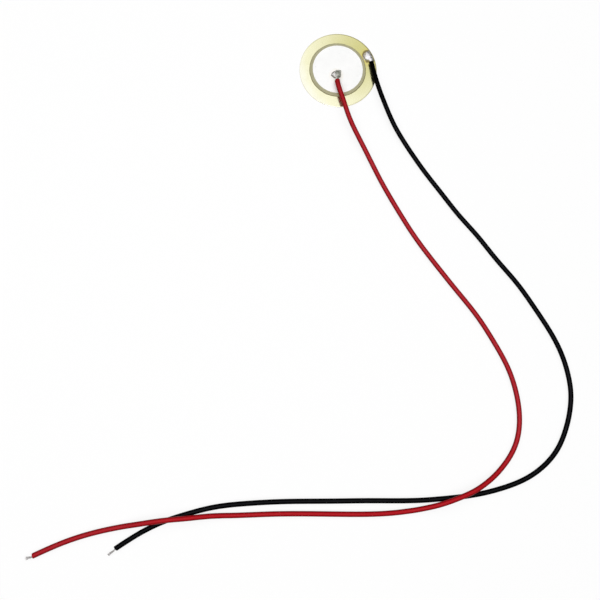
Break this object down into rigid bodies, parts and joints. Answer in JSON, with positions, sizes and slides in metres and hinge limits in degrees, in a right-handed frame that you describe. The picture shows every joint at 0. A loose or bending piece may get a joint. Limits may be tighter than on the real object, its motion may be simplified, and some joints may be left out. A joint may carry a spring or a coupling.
{
  "type": "piezo disc",
  "caption": "Flat round piezo element: a brass plate with a silvered ceramic disc bonded on it and red and black insulated leads soldered on top.",
  "frame": {"origin": "centre of the brass plate's underside, which is the face that is glued or clamped down", "axes": "+Z out of the soldered face, through the plate's thickness; -Y is the way the leads leave; the leads' wires lie on the same surface as the plate"},
  "size_m": [0.1737, 0.1744, 0.0034],
  "materials": {
    "brass": "bright rolled sheet with fine rolling lines",
    "adhesive": "thin cured adhesive, slightly glossy",
    "ceramic": "unglazed fired ceramic, olive grey, matt",
    "silver": "fired silver paste, near-white and matt",
    "solder": "hand-soldered, bright with dull patches",
    "tinned_wire": "tinned strands, satin",
    "red_insulation": "satin soft vinyl",
    "black_insulation": "satin soft vinyl"
  },
  "bodies": {
    "root": {"brass_plate": "brass", "bond_film": "adhesive", "lower_electrode": "silver", "ceramic_disc": "ceramic", "upper_electrode": "silver", "centre_solder": "solder", "rim_solder": "solder", "red_conductor": "tinned_wire", "red_insulation": "red_insulation", "black_conductor": "tinned_wire", "black_insulation": "black_insulation"}
  },
  "joints": []
}
